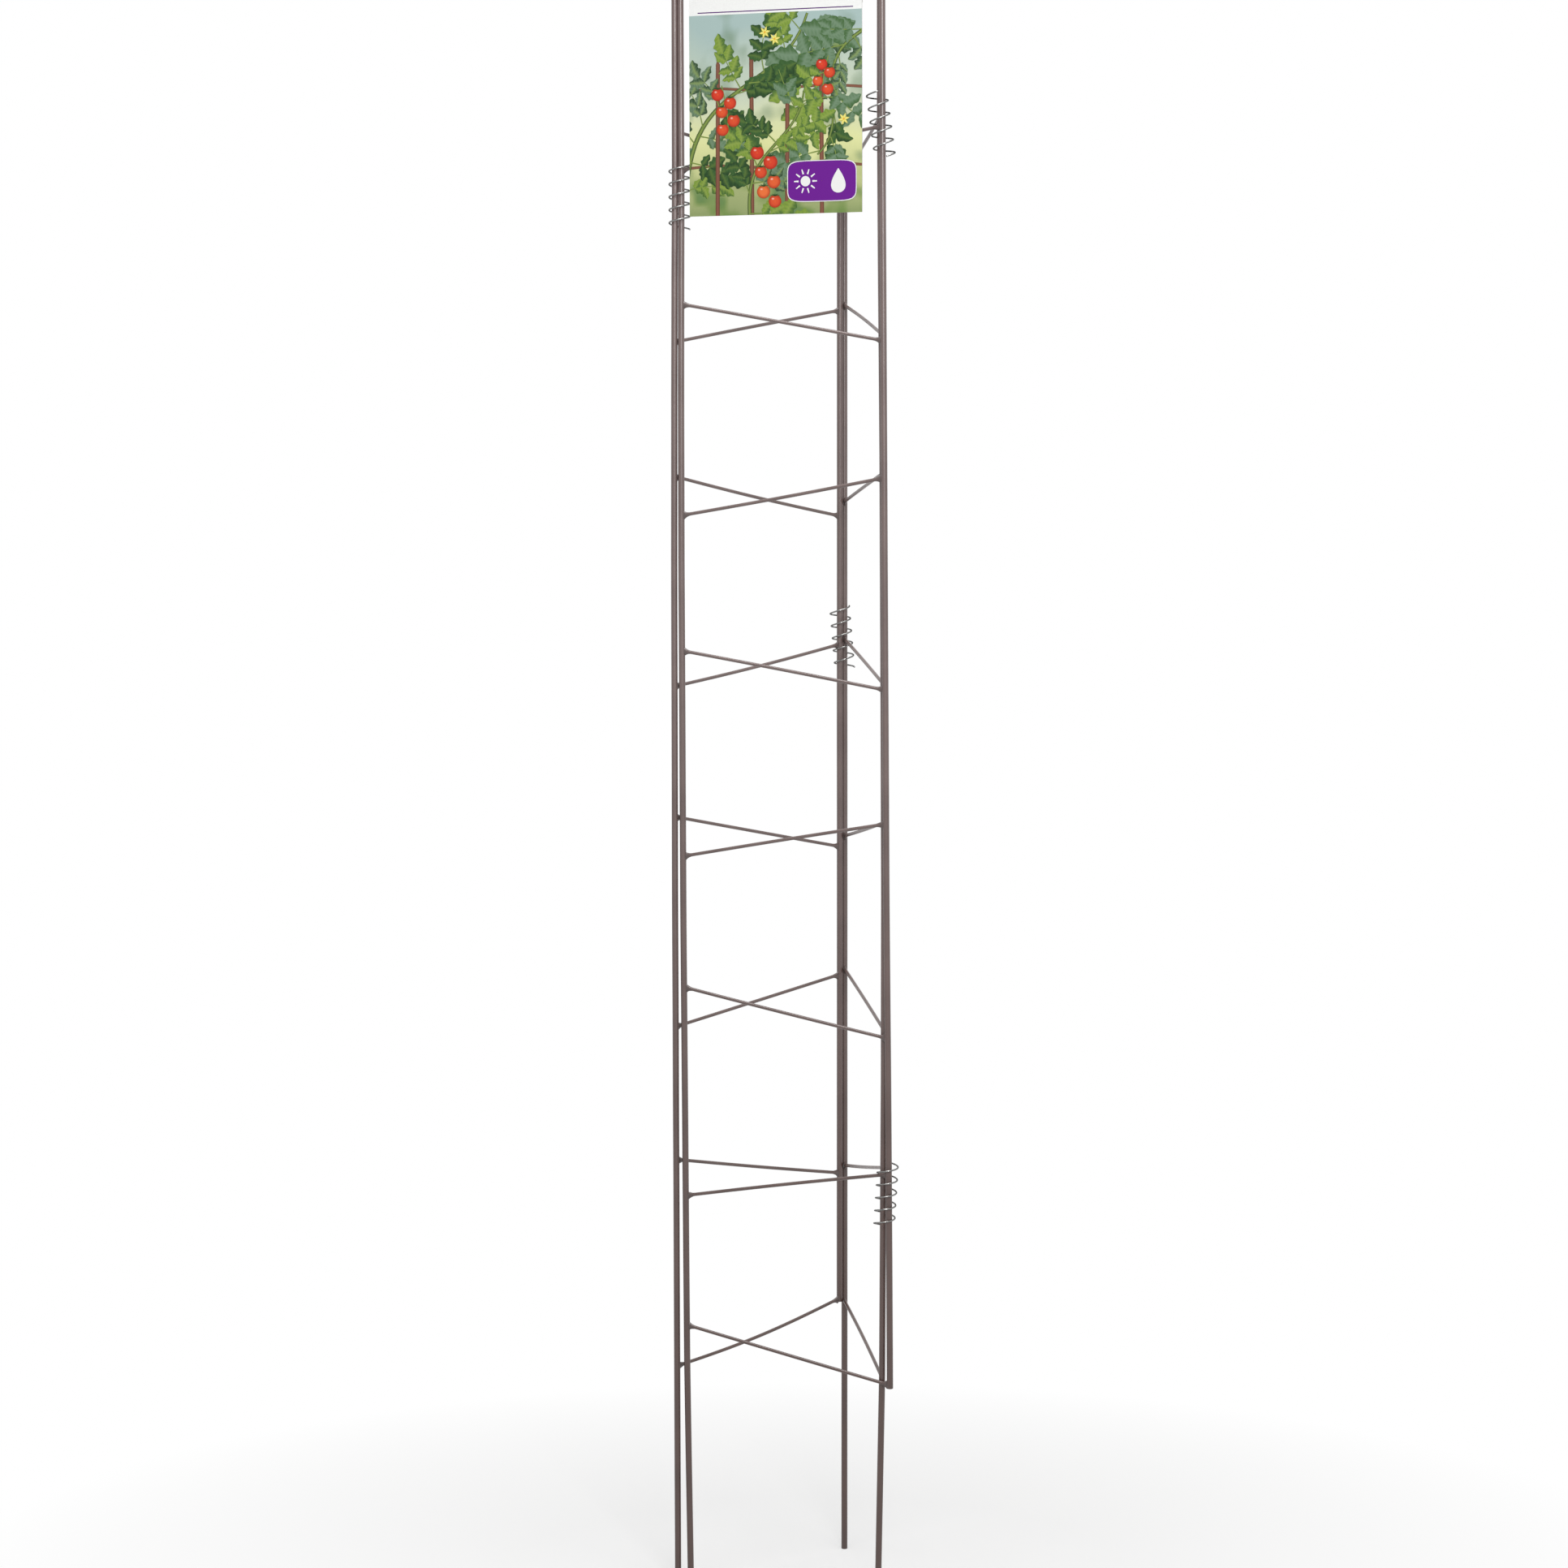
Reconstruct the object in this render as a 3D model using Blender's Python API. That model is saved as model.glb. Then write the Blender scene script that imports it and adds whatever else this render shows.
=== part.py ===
# Tomato tower: three ladder panels of coated steel wire, folded into a three-sided
# tower and held together at the corners by wire spirals wound round both uprights.
# Metres, +Z up. The ground is z = 0, the front panel faces -Y, and the origin is
# under the middle of the tower's bounding box.
import math

import bmesh
import bpy
from mathutils import Matrix, Vector

# Panels
ROW_COUNT = 9
ROW_PITCH = 0.150
LEG_LENGTH = 0.215            # ground to the middle of the lowest row
PANEL_WIDTH = 0.190           # between the axes of a panel's two uprights
RUNG_RISE = 0.032             # from a sloping rung's low end to its high end
MIDDLE_ROW_LIFT = 0.0048      # the middle panel's rows sit this much higher
UPRIGHT_DIAMETER = 0.0054
UPRIGHT_STUB = 0.003          # upright above the top rung's axis
SHORT_STUB = 0.0032           # short upright below the middle of the lowest rung's weld
UPRIGHT_END_BEVEL = 0.0006
RUNG_DIAMETER = 0.0028
WELD_HEIGHT = 0.0064          # a rung's end, spread by the weld
WELD_LENGTH = 0.006
WELD_GAP = 0.0003             # left between a rung's end and its upright

# Corners, where one panel's outer upright stands beside the next one's inner upright
PAIR_GAP = 0.0005
PAIR_ANGLE = math.radians(6)
FRONT_PANEL_LEAN = math.radians(0.2)  # in its own plane, its foot to the right
LEAN_ROW = 2                          # the row where a leaning panel's corner is true

# Spirals
SPIRAL_TURNS = 5
SPIRAL_PITCH = 0.0111
SPIRAL_DIAMETER = 0.0192      # outside the wire
SPIRAL_WIRE = 0.0014
SPIRAL_POINTS_PER_TURN = 10

# Hang card, folded over the front panel's top rung
CARD_WIDTH = 0.1585
CARD_HEIGHT = 0.2075          # below the top rung's axis
CARD_THICKNESS = 0.0008
CARD_LEFT_MARGIN = 0.011      # from the left upright's axis to the card's edge
CARD_FOLD_CLEARANCE = 0.0004  # between the rung and the inside of the fold
CARD_PINCH = 0.0104           # from the rung's axis down to where the flap meets the sheet
CARD_FLAP = 0.030             # back flap below the top rung's axis
CARD_FLAP_GAP = 0.0004        # between the flap's end and the front sheet

UPRIGHT_SIDES = 16
RUNG_SIDES = 10
WELD_STEPS = 3
FOLD_STEPS = 8

PAIR_SPACING = UPRIGHT_DIAMETER + PAIR_GAP
TOP_ROW_HEIGHT = LEG_LENGTH + (ROW_COUNT - 1) * ROW_PITCH

# A regular pinwheel: every panel starts at an inner upright and ends at an outer one.
SIDE_SHIFT = PAIR_SPACING / math.sqrt(3) * math.cos(PAIR_ANGLE - math.radians(30))
FACE_DISTANCE = (PANEL_WIDTH / (2 * math.sqrt(3))
                 + PAIR_SPACING / math.sqrt(3) * math.cos(PAIR_ANGLE + math.radians(60)))

# turn: how many thirds of a turn the panel stands round from the front.
# hinge: where the panel's pivot is, at its start (-1), middle (0) or end (1).
# odd_slope: which way rows 3, 5, 7 and 9 fall: 1 from start to end, -1 the other way.
# legs: whether the start and the end upright reach the ground.
# drift: by row, how far the welds at the start and at the end sit above their even pitch.
PANELS = {
    "front": {"turn": 0, "hinge": 1, "odd_slope": 1, "legs": (True, False),
              "uprights": ("front_left_upright", "front_right_upright"),
              "lift": 0.0, "lean": FRONT_PANEL_LEAN,
              "drift": {2: (-0.0010, -0.0010), 3: (0.0015, -0.0010), 6: (0.0015, 0.0025),
                        7: (0.0040, -0.0015), 8: (0.0010, -0.0020), 9: (0.0035, -0.0050)}},
    "middle": {"turn": 1, "hinge": 0, "odd_slope": -1, "legs": (True, True),
               "uprights": ("middle_front_upright", "middle_back_upright"),
               "lift": MIDDLE_ROW_LIFT, "lean": 0.0,
               "drift": {2: (0.0025, -0.0010), 4: (-0.0010, 0.0055), 6: (-0.0015, 0.0030),
                         8: (-0.0020, 0.0015), 9: (-0.0050, -0.0055)}},
    "left": {"turn": 2, "hinge": -1, "odd_slope": 1, "legs": (False, True),
             "uprights": ("left_back_upright", "left_front_upright"),
             "lift": 0.0, "lean": 0.0,
             "drift": {4: (-0.0025, 0.0015), 6: (-0.0015, 0.0035), 9: (0.0025, -0.0025)}},
}

# panel, end: the rung that the spiral is wound past, and where on the panel.
# seat: that rung's height over the turn below it, where the two cross.
# turns_below: whole turns that hang under that crossing.
# start: azimuth of the lower end. lean: tilt of the axis, its top towards lean_to.
# shift: how far the axis stands off the middle of the pair, towards lean_to.
SPIRALS = {
    "front_upper_spiral": {"panel": "front", "end": 1, "row": 2, "seat": 0.0063,
                           "turns_below": 1, "start": 297, "lean": 8.0, "lean_to": 216,
                           "shift": 0.0005},
    "front_lower_spiral": {"panel": "front", "end": 1, "row": 8, "seat": 0.0083,
                           "turns_below": 3, "start": 117, "lean": -3.6, "lean_to": 216,
                           "shift": 0.0},
    "back_upper_spiral": {"panel": "left", "end": -1, "row": 2, "seat": 0.0038,
                          "turns_below": 2, "start": 202, "lean": 0.0, "lean_to": 156,
                          "shift": 0.0},
    "back_middle_spiral": {"panel": "left", "end": -1, "row": 5, "seat": 0.0034,
                           "turns_below": 1, "start": 27, "lean": 4.8, "lean_to": 202,
                           "shift": 0.0},
    "closing_spiral": {"panel": "front", "end": -1, "row": 2, "seat": 0.0085,
                       "turns_below": 3, "start": 22, "lean": 0.0, "lean_to": 6,
                       "shift": 0.0012},
}


def clear_scene():
    for item in list(bpy.data.objects):
        bpy.data.objects.remove(item, do_unlink=True)


def make_material(name, color, metallic, roughness):
    material = bpy.data.materials.new(name)
    material.use_nodes = True
    shader = material.node_tree.nodes["Principled BSDF"]
    shader.inputs["Base Color"].default_value = (*color, 1.0)
    shader.inputs["Metallic"].default_value = metallic
    shader.inputs["Roughness"].default_value = roughness
    material.diffuse_color = (*color, 1.0)
    return material


def coat_material(name):
    return make_material(name + "_coat", (0.135, 0.100, 0.092), 0.0, 0.42)


def add_object(name, data, material, parent, location):
    piece = bpy.data.objects.new(name, data)
    data.materials.append(material)
    bpy.context.scene.collection.objects.link(piece)
    piece.parent = parent
    piece.location = location
    return piece


def add_empty(name, parent, matrix):
    empty = bpy.data.objects.new(name, None)
    bpy.context.scene.collection.objects.link(empty)
    empty.parent = parent
    empty.matrix_basis = matrix
    return empty


def mesh_from_bmesh(name, solid):
    bmesh.ops.recalc_face_normals(solid, faces=solid.faces)
    mesh = bpy.data.meshes.new(name)
    solid.to_mesh(mesh)
    solid.free()
    mesh.shade_smooth()
    mesh.set_sharp_from_angle(angle=math.radians(40))
    return mesh


def skin_rings(solid, rings, start_centre, end_centre):
    """Joins rings of equal count with quads and closes both ends with a fan."""
    loops = [[solid.verts.new(point) for point in ring] for ring in rings]
    for lower, upper in zip(loops, loops[1:]):
        for index in range(len(lower)):
            after = (index + 1) % len(lower)
            solid.faces.new((lower[index], lower[after], upper[after], upper[index]))
    for loop, centre in ((loops[0], start_centre), (loops[-1], end_centre)):
        hub = solid.verts.new(centre)
        for index in range(len(loop)):
            solid.faces.new((hub, loop[index], loop[(index + 1) % len(loop)]))


def upright_mesh(name, length):
    """A round bar standing on the origin, with its cut edges eased."""
    radius = UPRIGHT_DIAMETER / 2
    stations = [(radius - UPRIGHT_END_BEVEL, 0.0),
                (radius, UPRIGHT_END_BEVEL),
                (radius, length - UPRIGHT_END_BEVEL),
                (radius - UPRIGHT_END_BEVEL, length)]
    rings = []
    for ring_radius, height in stations:
        angles = [2 * math.pi * side / UPRIGHT_SIDES for side in range(UPRIGHT_SIDES)]
        rings.append([Vector((ring_radius * math.cos(angle), ring_radius * math.sin(angle), height))
                      for angle in angles])
    solid = bmesh.new()
    skin_rings(solid, rings, Vector((0, 0, 0)), Vector((0, 0, length)))
    return mesh_from_bmesh(name, solid)


def rung_mesh(name, rise):
    """A rung from the start upright's axis at the origin to the end upright's, rising by
    rise. Its ends spread into the weld and are coped to the uprights."""
    run = Vector((PANEL_WIDTH, 0, rise))
    along = run.normalized()
    up = Vector((-along.z, 0, along.x))
    cope = UPRIGHT_DIAMETER / 2 + WELD_GAP
    radius = RUNG_DIAMETER / 2

    def spread(distance):
        """Half height of the rung at a distance from the weld's root."""
        left = max(0.0, 1 - distance / WELD_LENGTH)
        return radius + (WELD_HEIGHT / 2 - radius) * left ** 2

    def ring(distance, from_end):
        side = -1 if from_end else 1
        root = run if from_end else Vector((0, 0, 0))
        points = []
        for step in range(RUNG_SIDES):
            angle = 2 * math.pi * step / RUNG_SIDES
            depth = radius * math.cos(angle)
            offset = Vector((0, depth, 0)) + up * spread(distance) * math.sin(angle)
            reach = math.sqrt(cope ** 2 - depth ** 2) if distance == 0 else cope + distance
            slide = (reach - side * offset.x) / along.x
            points.append(root + offset + along * side * slide)
        return points

    distances = [WELD_LENGTH * step / WELD_STEPS for step in range(WELD_STEPS + 1)]
    rings = [ring(distance, False) for distance in distances]
    rings += [ring(distance, True) for distance in reversed(distances)]
    start_centre = along * (cope / along.x)
    solid = bmesh.new()
    skin_rings(solid, rings, start_centre, run - start_centre)
    return mesh_from_bmesh(name, solid)


def row_height(panel, row):
    """Middle height of a row; row 1 is the top one."""
    return TOP_ROW_HEIGHT + panel["lift"] - (row - 1) * ROW_PITCH


def row_fall(panel, row):
    """How far a row falls from the panel's start to its end. The top row is level."""
    if row == 1:
        return 0.0
    return RUNG_RISE * panel["odd_slope"] * (1 if row % 2 else -1)


def weld_height(panel, row, end):
    drift = panel["drift"].get(row, (0.0, 0.0))[0 if end < 0 else 1]
    return row_height(panel, row) - end * row_fall(panel, row) / 2 + drift


def panel_matrix(panel):
    """From a panel's own frame, x along it and -y outward, to the tower's."""
    turn = Matrix.Rotation(math.radians(120) * panel["turn"], 4, "Z")
    place = Matrix.Translation((SIDE_SHIFT, -FACE_DISTANCE, 0))
    held = Matrix.Translation((PANEL_WIDTH / 2, 0, row_height(panel, LEAN_ROW)))
    lean = Matrix.Rotation(-panel["lean"], 4, "Y")
    return turn @ place @ held @ lean @ held.inverted()


def ground_height(panel, end):
    """Where an upright's axis meets the ground, along the upright."""
    place = panel_matrix(panel)
    return -(place @ Vector((end * PANEL_WIDTH / 2, 0, 0))).z / place[2][2]


def make_panel(name, panel, tower):
    hinge_x = panel["hinge"] * PANEL_WIDTH / 2
    pivot = add_empty(name + "_panel", tower,
                      panel_matrix(panel) @ Matrix.Translation((hinge_x, 0, 0)))
    top = row_height(panel, 1) + UPRIGHT_STUB
    for end, has_leg, upright in zip((-1, 1), panel["legs"], panel["uprights"]):
        foot = weld_height(panel, ROW_COUNT, end) - SHORT_STUB
        if has_leg:
            foot = ground_height(panel, end)
        place = Vector((end * PANEL_WIDTH / 2 - hinge_x, 0, foot))
        add_object(upright, upright_mesh(upright, top - foot), coat_material(upright), pivot, place)
    for row in range(1, ROW_COUNT + 1):
        rung = f"{name}_rung_{row}"
        start, finish = (weld_height(panel, row, end) for end in (-1, 1))
        place = Vector((-PANEL_WIDTH / 2 - hinge_x, 0, start))
        add_object(rung, rung_mesh(rung, finish - start), coat_material(rung), pivot, place)
    return pivot


def horizontal(azimuth):
    return Vector((math.cos(azimuth), math.sin(azimuth), 0))


def pair_middle(panel, end, row):
    """Middle of the two uprights that meet at one end of a panel, at a row's height."""
    mate = next(other for other in PANELS.values()
                if other["turn"] == (panel["turn"] + end) % len(PANELS))
    height = row_height(panel, row)
    upright = panel_matrix(panel) @ Vector((end * PANEL_WIDTH / 2, 0, height))
    mate_upright = panel_matrix(mate) @ Vector((-end * PANEL_WIDTH / 2, 0, height))
    return (upright + mate_upright) / 2


def rung_crossing(panel, end, row, centre, reach):
    """Azimuth and height at which a rung leaves a circle of radius reach round centre."""
    place = panel_matrix(panel)
    root = place @ Vector((end * PANEL_WIDTH / 2, 0, weld_height(panel, row, end)))
    tip = place @ Vector((-end * PANEL_WIDTH / 2, 0, weld_height(panel, row, -end)))
    run = (tip - root) / (tip.xy - root.xy).length
    start = root.xy - centre.xy
    along = start.dot(run.xy)
    distance = -along + math.sqrt(along ** 2 - start.length_squared + reach ** 2)
    crossing = start + run.xy * distance
    return math.atan2(crossing.y, crossing.x), root.z + run.z * distance


def coil_least_gap(points):
    """Least gap between parts of one coil that lie over half a turn apart."""
    least = math.inf
    for index, point in enumerate(points):
        for other in points[index + SPIRAL_POINTS_PER_TURN // 2 + 1:]:
            least = min(least, (point - other).length)
    return least - SPIRAL_WIRE


def make_spiral(name, spiral, tower):
    """A right-handed coil round a pair of uprights. Its height is set by the rung that
    passes between two of its turns."""
    panel = PANELS[spiral["panel"]]
    radius = (SPIRAL_DIAMETER - SPIRAL_WIRE) / 2
    lean = math.radians(spiral["lean"])
    lean_to = horizontal(math.radians(spiral["lean_to"]))
    centre = pair_middle(panel, spiral["end"], spiral["row"]) + lean_to * spiral["shift"]
    azimuth, height = rung_crossing(panel, spiral["end"], spiral["row"], centre, radius)
    start = math.radians(spiral["start"])
    partial_turn = ((azimuth - start) / (2 * math.pi)) % 1
    dip = math.sin(lean) * radius * horizontal(azimuth).dot(lean_to)
    coil_height = SPIRAL_TURNS * SPIRAL_PITCH
    below = (partial_turn + spiral["turns_below"]) * SPIRAL_PITCH
    middle = height - spiral["seat"] + dip + (coil_height / 2 - below) * math.cos(lean)

    points = []
    for step in range(SPIRAL_TURNS * SPIRAL_POINTS_PER_TURN + 1):
        turned = step / SPIRAL_POINTS_PER_TURN
        ring = horizontal(start + 2 * math.pi * turned) * radius
        points.append(ring + Vector((0, 0, turned * SPIRAL_PITCH - coil_height / 2)))
    print(f"{name}: least gap between turns {coil_least_gap(points) * 1000:.2f} mm")

    curve = bpy.data.curves.new(name, "CURVE")
    curve.dimensions = "3D"
    curve.bevel_depth = SPIRAL_WIRE / 2
    curve.bevel_resolution = 1
    curve.use_fill_caps = True
    curve.twist_mode = "Z_UP"
    spline = curve.splines.new("POLY")
    spline.points.add(len(points) - 1)
    for target, point in zip(spline.points, points):
        target.co = (*point, 1.0)
    steel = make_material(name + "_steel", (0.42, 0.42, 0.41), 1.0, 0.30)
    piece = add_object(name, curve, steel, tower, (centre.x, centre.y, middle))
    piece.rotation_euler = Matrix.Rotation(lean, 3, Vector((0, 0, 1)).cross(lean_to)).to_euler()
    return piece


def card_profile():
    """Outline of the card across its width: y towards the tower, z up from the rung."""
    inside = RUNG_DIAMETER / 2 + CARD_FOLD_CLEARANCE
    outside = inside + CARD_THICKNESS
    flap_inside = -inside + CARD_FLAP_GAP
    flap_outside = flap_inside + CARD_THICKNESS
    outer = [(-outside, -CARD_HEIGHT)]
    inner = [(-inside, -CARD_HEIGHT)]
    for step in range(FOLD_STEPS + 1):
        angle = math.pi - math.pi * step / FOLD_STEPS
        outer.append((outside * math.cos(angle), outside * math.sin(angle)))
        inner.append((inside * math.cos(angle), inside * math.sin(angle)))
    inner += [(flap_inside, -CARD_PINCH), (flap_inside, -CARD_FLAP)]
    outer += [(flap_outside, -CARD_PINCH), (flap_outside, -CARD_FLAP)]
    return outer + inner[::-1]


def make_card(pivot):
    panel = PANELS["front"]
    left = CARD_LEFT_MARGIN - PANEL_WIDTH / 2 - panel["hinge"] * PANEL_WIDTH / 2
    outline = card_profile()
    solid = bmesh.new()
    face = solid.faces.new([solid.verts.new((0, y, z)) for y, z in outline])
    sweep = bmesh.ops.extrude_face_region(solid, geom=[face])
    moved = [item for item in sweep["geom"] if isinstance(item, bmesh.types.BMVert)]
    bmesh.ops.translate(solid, verts=moved, vec=(CARD_WIDTH, 0, 0))
    bmesh.ops.triangulate(solid, faces=[item for item in solid.faces if len(item.verts) > 4])
    board = make_material("hang_card_board", (0.83, 0.84, 0.80), 0.0, 0.45)
    place = Vector((left, 0, row_height(panel, 1)))
    return add_object("hang_card", mesh_from_bmesh("hang_card", solid), board, pivot, place)


def tower_box():
    """Lowest and highest corners of everything, in world space."""
    bpy.context.view_layer.update()
    graph = bpy.context.evaluated_depsgraph_get()
    corners = []
    for item in bpy.data.objects:
        if item.type in {"MESH", "CURVE"}:
            shape = item.evaluated_get(graph)
            mesh = shape.to_mesh()
            corners += [item.matrix_world @ vertex.co for vertex in mesh.vertices]
            shape.to_mesh_clear()
    low = Vector([min(corner[axis] for corner in corners) for axis in range(3)])
    high = Vector([max(corner[axis] for corner in corners) for axis in range(3)])
    return low, high


def main():
    clear_scene()
    tower = add_empty("tower", None, Matrix.Identity(4))
    pivots = {name: make_panel(name, panel, tower) for name, panel in PANELS.items()}
    make_card(pivots["front"])
    for name, spiral in SPIRALS.items():
        make_spiral(name, spiral, tower)
    low, high = tower_box()
    tower.location = (-(low.x + high.x) / 2, -(low.y + high.y) / 2, 0)
    bpy.context.view_layer.update()


main()
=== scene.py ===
import itertools
import math
import random

import bmesh
import bpy
from mathutils import Matrix, Vector, noise


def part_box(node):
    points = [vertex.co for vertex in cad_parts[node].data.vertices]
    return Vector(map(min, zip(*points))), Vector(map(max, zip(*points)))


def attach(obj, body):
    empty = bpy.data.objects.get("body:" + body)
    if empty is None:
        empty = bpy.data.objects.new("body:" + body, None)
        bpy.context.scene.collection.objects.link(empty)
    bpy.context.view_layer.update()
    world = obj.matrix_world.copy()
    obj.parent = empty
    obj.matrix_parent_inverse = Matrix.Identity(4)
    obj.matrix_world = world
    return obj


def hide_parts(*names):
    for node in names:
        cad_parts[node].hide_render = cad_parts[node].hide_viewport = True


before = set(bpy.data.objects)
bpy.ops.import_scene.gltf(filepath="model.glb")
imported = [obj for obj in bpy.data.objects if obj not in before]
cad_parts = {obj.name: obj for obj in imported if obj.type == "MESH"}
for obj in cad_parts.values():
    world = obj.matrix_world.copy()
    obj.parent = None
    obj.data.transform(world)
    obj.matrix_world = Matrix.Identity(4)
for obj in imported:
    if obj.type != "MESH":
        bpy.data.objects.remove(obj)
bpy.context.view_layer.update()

# Tomato tower: three ladder panels of coated wire, five wire spirals and a printed card.
# Each piece stands where its solid in the frame does. Diameters, the spirals' turns and the
# card's sizes repeat the part's own values.
upward = Vector((0, 0, 1))
noise.seed_set(7)            # without it, noise_vector starts from the clock


def addObject(name, data):
    made = bpy.data.objects.new(name, data)
    bpy.context.scene.collection.objects.link(made)
    return made


# camera

camera = {
    "place": (1.30643, -3.54431, 0.98479),
    "heading": 110.6505,     # degrees from +X, towards +Y
    "down": 4.1607,
    "roll": -0.0629,
    "focal": 5258.9,         # in pixels of the photograph
    "image": 1932,
    "sensor": 36.0,
    "farthest": 60,
}


def addCamera(look):
    heading, down, roll = (math.radians(look[key]) for key in ("heading", "down", "roll"))
    ahead = Vector((math.cos(heading) * math.cos(down), math.sin(heading) * math.cos(down),
                    -math.sin(down)))
    side = Vector((math.sin(heading), -math.cos(heading), 0))
    over = side.cross(ahead)
    right = side * math.cos(roll) + over * math.sin(roll)
    top = over * math.cos(roll) - side * math.sin(roll)
    lens = bpy.data.cameras.new("photoCamera")
    lens.sensor_width = look["sensor"]
    lens.lens = look["sensor"] * look["focal"] / look["image"]
    lens.clip_end = look["farthest"]
    seat = addObject("photoCamera", lens)
    turn = Matrix((right, top, -ahead)).transposed().to_4x4()
    seat.matrix_world = Matrix.Translation(look["place"]) @ turn
    bpy.context.scene.camera = seat


addCamera(camera)
print("camera set")


# node helpers

noiseSpread = (0.3, 0.7)     # nearly all of what a noise gives lies between these


def newMaterial(name):
    material = bpy.data.materials.new(name)
    material.use_nodes = True
    tree = material.node_tree
    return material, tree, tree.nodes["Principled BSDF"]


def addNode(tree, kind, values=None, **settings):
    node = tree.nodes.new(kind)
    for key, value in settings.items():
        setattr(node, key, value)
    for key, value in (values or {}).items():
        if isinstance(value, bpy.types.NodeSocket):
            tree.links.new(value, node.inputs[key])
        else:
            node.inputs[key].default_value = value
    return node


def objectCoords(tree):
    return addNode(tree, "ShaderNodeTexCoord").outputs["Object"]


def noiseOf(tree, coords, scale, detail=2.0, roughness=0.5):
    values = {"Vector": coords, "Scale": scale, "Detail": detail, "Roughness": roughness}
    return addNode(tree, "ShaderNodeTexNoise", values).outputs["Fac"]


# From one place and colour to another.
def rampOf(tree, factor, stops):
    node = addNode(tree, "ShaderNodeValToRGB", {"Fac": factor})
    for element, (place, color) in zip(node.color_ramp.elements, stops):
        element.position = place
        element.color = (*color, 1)
    return node.outputs["Color"]


def rangeOf(tree, value, low, high, toLow, toHigh):
    values = {"Value": value, "From Min": low, "From Max": high, "To Min": toLow, "To Max": toHigh}
    return addNode(tree, "ShaderNodeMapRange", values, clamp=True).outputs["Result"]


def mixOf(tree, factor, first, second, blend="MIX"):
    node = addNode(tree, "ShaderNodeMix", data_type="RGBA", blend_type=blend)
    for socket, value in ((node.inputs[0], factor), (node.inputs[6], first), (node.inputs[7], second)):
        if isinstance(value, bpy.types.NodeSocket):
            tree.links.new(value, socket)
        elif isinstance(value, (int, float)):
            socket.default_value = value
        else:
            socket.default_value = (*value, 1)
    return node.outputs[2]


def bumpOf(tree, height, strength, distance, normal=None):
    values = {"Height": height, "Strength": strength, "Distance": distance}
    if normal:
        values["Normal"] = normal
    return addNode(tree, "ShaderNodeBump", values).outputs["Normal"]


def attributeOf(tree, name, output="Fac"):
    return addNode(tree, "ShaderNodeAttribute", attribute_name=name).outputs[output]


# coated steel

coatLook = {
    "dark": (0.113, 0.076, 0.070),
    "light": (0.150, 0.105, 0.097),
    "cloud": 26,             # clouds a metre, between dark and light
    "cloudSpread": (0.32, 0.68),
    "paintedFootShade": (0.54, 0.40, 0.34),  # painted shade: the colour is browner and darker near the ground, where less light reaches
    "footFade": (0.15, 0.80),        # the heights between which that fades out
    "fleck": 5200,
    "fleckSpread": (0.70, 0.80),
    "fleckShare": 0.35,
    "fleckShade": 1.7,       # times the light colour
    "crevice": (0.059, 0.042, 0.039),
    "creviceShare": 0.8,     # on the welds
    "smear": 160,            # patches a metre of rougher coat
    "roughness": (0.30, 0.38),
    "gloss": 0.8,
    "peel": 1500,            # waves a metre in the coat's orange peel
    "peelStrength": 0.25,
    "peelDepth": 0.00005,
    "crust": 520,            # the rough skin of the welds
    "crustStrength": (0.05, 0.9),    # on the plain wire and on a weld
    "crustDepth": 0.00025,
}


def coatMaterial(name):
    look = coatLook
    material, tree, shader = newMaterial(name)
    coords = objectCoords(tree)
    weld = attributeOf(tree, "weld")

    stops = zip(look["cloudSpread"], (look["dark"], look["light"]))
    color = rampOf(tree, noiseOf(tree, coords, look["cloud"], 3), stops)
    # Painted shade: towards the ground the coat's colour is multiplied down to a darker brown.
    height = addNode(tree, "ShaderNodeSeparateXYZ", {0: coords}).outputs["Z"]
    paintedShade = mixOf(tree, rangeOf(tree, height, *look["footFade"], 0.0, 1.0), look["paintedFootShade"], (1, 1, 1))
    color = mixOf(tree, 1.0, color, paintedShade, "MULTIPLY")
    fleck = rangeOf(tree, noiseOf(tree, coords, look["fleck"], 1), *look["fleckSpread"],
                    0.0, look["fleckShare"])
    color = mixOf(tree, fleck, color, [part * look["fleckShade"] for part in look["light"]])
    dirt = rangeOf(tree, weld, 0.0, 1.0, 0.0, look["creviceShare"])
    tree.links.new(mixOf(tree, dirt, color, look["crevice"]), shader.inputs["Base Color"])

    smear = noiseOf(tree, coords, look["smear"], 3)
    tree.links.new(rangeOf(tree, smear, *noiseSpread, *look["roughness"]), shader.inputs["Roughness"])

    peel = bumpOf(tree, noiseOf(tree, coords, look["peel"]), look["peelStrength"], look["peelDepth"])
    crust = noiseOf(tree, coords, look["crust"], 4, 0.6)
    strength = rangeOf(tree, weld, 0.0, 1.0, *look["crustStrength"])
    tree.links.new(bumpOf(tree, crust, strength, look["crustDepth"], peel), shader.inputs["Normal"])
    shader.inputs["Specular IOR Level"].default_value = look["gloss"]
    return material


# drawn steel wire

wireLook = {
    "dark": (0.050, 0.049, 0.047),
    "light": (0.450, 0.446, 0.434),
    "edge": (0.35, 0.35, 0.35),      # what it mirrors at a grazing angle
    "roughness": (0.09, 0.16),
    "streaks": 3.2,          # round the wire
    "streakLength": 0.012,
    "streakSpread": (0.35, 0.68),
    "streakStrength": 0.25,
    "streakDepth": 0.00004,
}


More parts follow.
